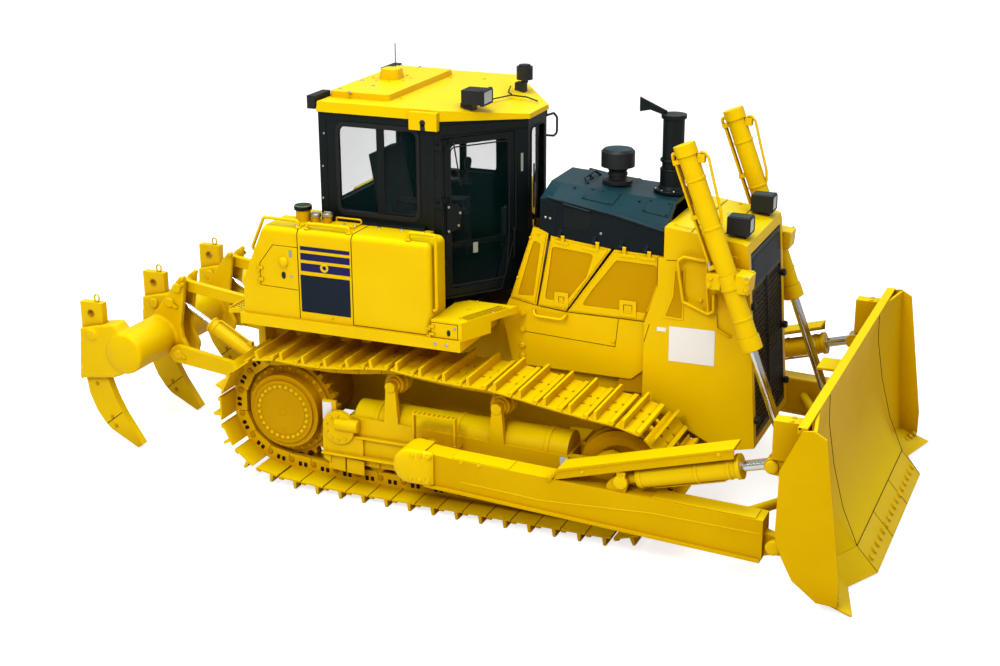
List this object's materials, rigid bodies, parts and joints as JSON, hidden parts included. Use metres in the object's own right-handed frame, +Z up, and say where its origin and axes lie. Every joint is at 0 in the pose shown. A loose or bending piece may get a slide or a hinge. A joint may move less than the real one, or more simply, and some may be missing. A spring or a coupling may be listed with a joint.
{
  "type": "crawler bulldozer",
  "caption": "Yellow crawler bulldozer with a wide blade, dark six-sided cab and hood, and a three-shank ripper.",
  "frame": {"origin": "on the ground under the middle of the overall length, on the middle plane", "axes": "+X forwards to the blade, +Y to the machine's left, +Z up"},
  "size_m": [7.292, 3.62, 3.65],
  "materials": {
    "yellow_paint": "gloss",
    "black_paint": "satin",
    "hood_paint": "satin",
    "chrome": "polished",
    "glass": "clear",
    "black_plastic": "matte",
    "seat_fabric": "matte",
    "engine_iron": "rough"
  },
  "bodies": {
    "machine": {"antennas": "black_plastic", "cab_base": "black_paint", "cab_frame": "black_paint", "cab_glass": "glass", "cab_roof": "yellow_paint", "console": "black_plastic", "corner_panels": "yellow_paint", "deck_left": "yellow_paint", "deck_right": "yellow_paint", "driver_seat": "seat_fabric", "engine": "engine_iron", "exhaust_stack": "black_paint", "grille": "black_paint", "guard_rails": "yellow_paint", "handrails": "yellow_paint", "hood": "hood_paint", "idlers": "yellow_paint", "lid_hinges": "yellow_paint", "main_frame": "yellow_paint", "pre_cleaner": "black_paint", "radiator_guard": "yellow_paint", "roof_lamps": "black_plastic", "side_panels": "yellow_paint", "sprockets": "yellow_paint", "tank_left": "yellow_paint", "tank_right": "yellow_paint", "track_frame_left": "yellow_paint", "track_frame_right": "yellow_paint", "track_left": "yellow_paint", "track_right": "yellow_paint", "work_lamps": "black_plastic"},
    "push_frame": {"push_beams": "yellow_paint"},
    "blade": {"blade": "yellow_paint", "cutting_edges": "yellow_paint"},
    "lift_barrel_right": {"lift_barrel_right": "yellow_paint"},
    "lift_barrel_left": {"lift_barrel_left": "yellow_paint"},
    "lift_rod_right": {"lift_rod_right": "chrome"},
    "lift_rod_left": {"lift_rod_left": "chrome"},
    "tilt_barrel_right": {"tilt_barrel_right": "yellow_paint"},
    "tilt_barrel_left": {"tilt_barrel_left": "yellow_paint"},
    "tilt_rod_right": {"tilt_rod_right": "chrome"},
    "tilt_rod_left": {"tilt_rod_left": "chrome"},
    "ripper_lower_arms": {"ripper_lower_arms": "yellow_paint"},
    "ripper_upper_arms": {"ripper_upper_arms": "yellow_paint"},
    "ripper_beam": {"ripper_beam": "yellow_paint", "ripper_shanks": "yellow_paint"},
    "ripper_barrels": {"ripper_barrels": "yellow_paint"},
    "ripper_rods": {"ripper_rods": "chrome"},
    "cab_door_right": {"cab_door_right": "black_paint", "door_glass_right": "glass"},
    "cab_door_left": {"cab_door_left": "black_paint", "door_glass_left": "glass"},
    "engine_door_mid_right": {"engine_door_mid_right": "yellow_paint"},
    "engine_door_mid_left": {"engine_door_mid_left": "yellow_paint"},
    "engine_door_front_right": {"engine_door_front_right": "yellow_paint"},
    "engine_door_front_left": {"engine_door_front_left": "yellow_paint"},
    "tank_lid": {"tank_lid": "yellow_paint"},
    "box_lid": {"box_lid": "yellow_paint"}
  },
  "joints": [
    {"name": "blade_lift", "type": "hinge", "parent": "machine", "child": "push_frame", "pos_m": [-0.06, 0, 0.56], "axis": [0, -1, 0], "range_deg": [-8.5, 17]},
    {"name": "blade_pitch", "type": "hinge", "parent": "push_frame", "child": "blade", "pos_m": [2.94, 0, 0.362], "axis": [0, -1, 0], "range_deg": [-6, 6]},
    {"name": "lift_swing_right", "type": "hinge", "parent": "machine", "child": "lift_barrel_right", "pos_m": [2.3, -0.72, 2.14], "axis": [0, -1, 0], "range_deg": [-5.6, 11.2]},
    {"name": "lift_stroke_right", "type": "slide", "parent": "lift_barrel_right", "child": "lift_rod_right", "axis": [0.3567, 0, -0.9342], "range_m": [-0.835, 0.42]},
    {"name": "tilt_swing_right", "type": "hinge", "parent": "push_frame", "child": "tilt_barrel_right", "pos_m": [1.725, -1.5, 0.7], "axis": [0, -1, 0], "range_deg": [-0.7, 0.7]},
    {"name": "tilt_stroke_right", "type": "slide", "parent": "tilt_barrel_right", "child": "tilt_rod_right", "axis": [0.9649, 0, 0.2628], "range_m": [-0.07, 0.07]},
    {"name": "lift_swing_left", "type": "hinge", "parent": "machine", "child": "lift_barrel_left", "pos_m": [2.3, 0.72, 2.14], "axis": [0, -1, 0], "range_deg": [-5.6, 11.2]},
    {"name": "lift_stroke_left", "type": "slide", "parent": "lift_barrel_left", "child": "lift_rod_left", "axis": [0.3567, 0, -0.9342], "range_m": [-0.835, 0.42]},
    {"name": "tilt_swing_left", "type": "hinge", "parent": "push_frame", "child": "tilt_barrel_left", "pos_m": [1.725, 1.5, 0.7], "axis": [0, -1, 0], "range_deg": [-0.7, 0.7]},
    {"name": "tilt_stroke_left", "type": "slide", "parent": "tilt_barrel_left", "child": "tilt_rod_left", "axis": [0.9649, 0, 0.2628], "range_m": [-0.07, 0.07]},
    {"name": "ripper_lift", "type": "hinge", "parent": "machine", "child": "ripper_lower_arms", "pos_m": [-2.1, 0, 0.7], "axis": [0, 1, 0], "range_deg": [-30, 38]},
    {"name": "ripper_level", "type": "hinge", "parent": "ripper_lower_arms", "child": "ripper_beam", "pos_m": [-2.902, 0, 0.804], "axis": [0, 1, 0], "range_deg": [-38, 30]},
    {"name": "ripper_upper_swing", "type": "hinge", "parent": "machine", "child": "ripper_upper_arms", "pos_m": [-2.098, 0, 1.324], "axis": [0, 1, 0], "range_deg": [-30, 38]},
    {"name": "ripper_cylinder_swing", "type": "hinge", "parent": "machine", "child": "ripper_barrels", "pos_m": [-2.14, 0, 0.79], "axis": [0, 1, 0], "range_deg": [-22.4, 28.4]},
    {"name": "ripper_cylinder_stroke", "type": "slide", "parent": "ripper_barrels", "child": "ripper_rods", "axis": [-0.8658, 0, 0.5003], "range_m": [-0.151, 0.191]},
    {"name": "cab_door_right_hinge", "type": "hinge", "parent": "machine", "child": "cab_door_right", "pos_m": [-0.084, -0.868, 2.45], "axis": [0, 0, -1], "range_deg": [0, 100]},
    {"name": "cab_door_left_hinge", "type": "hinge", "parent": "machine", "child": "cab_door_left", "pos_m": [-0.084, 0.868, 2.45], "axis": [0, 0, 1], "range_deg": [0, 100]},
    {"name": "engine_door_mid_right_hinge", "type": "hinge", "parent": "machine", "child": "engine_door_mid_right", "pos_m": [1.005, -0.532, 2.28892], "axis": [-0.9974, 0, 0.0718], "range_deg": [0, 80]},
    {"name": "engine_door_mid_left_hinge", "type": "hinge", "parent": "machine", "child": "engine_door_mid_left", "pos_m": [1.005, 0.532, 2.28892], "axis": [0.9974, 0, -0.0718], "range_deg": [0, 80]},
    {"name": "engine_door_front_right_hinge", "type": "hinge", "parent": "machine", "child": "engine_door_front_right", "pos_m": [1.491, -0.532, 2.25392], "axis": [-0.9974, 0, 0.0718], "range_deg": [0, 80]},
    {"name": "engine_door_front_left_hinge", "type": "hinge", "parent": "machine", "child": "engine_door_front_left", "pos_m": [1.491, 0.532, 2.25392], "axis": [0.9974, 0, -0.0718], "range_deg": [0, 80]},
    {"name": "tank_lid_hinge", "type": "hinge", "parent": "machine", "child": "tank_lid", "pos_m": [-1.606, -1.239, 1.98], "axis": [0, 0, -1], "range_deg": [0, 100]},
    {"name": "box_lid_hinge", "type": "hinge", "parent": "machine", "child": "box_lid", "pos_m": [-0.033, -1.249, 1.616], "axis": [0, 0, -1], "range_deg": [0, 100]}
  ],
  "couplings": [
    {"joint": "lift_swing_right", "follows": "blade_lift", "ratio": 0.6544},
    {"joint": "lift_stroke_right", "follows": "blade_lift", "m_per_rad": -2.7974},
    {"joint": "tilt_swing_right", "follows": "blade_pitch", "ratio": 0.111},
    {"joint": "tilt_stroke_right", "follows": "blade_pitch", "m_per_rad": -0.64486},
    {"joint": "lift_swing_left", "follows": "blade_lift", "ratio": 0.6544},
    {"joint": "lift_stroke_left", "follows": "blade_lift", "m_per_rad": -2.7974},
    {"joint": "tilt_swing_left", "follows": "blade_pitch", "ratio": 0.111},
    {"joint": "tilt_stroke_left", "follows": "blade_pitch", "m_per_rad": -0.64486},
    {"joint": "ripper_level", "follows": "ripper_lift", "ratio": -1},
    {"joint": "ripper_upper_swing", "follows": "ripper_lift", "ratio": 1},
    {"joint": "ripper_cylinder_swing", "follows": "ripper_lift", "ratio": 0.7457},
    {"joint": "ripper_cylinder_stroke", "follows": "ripper_lift", "m_per_rad": 0.28779}
  ]
}
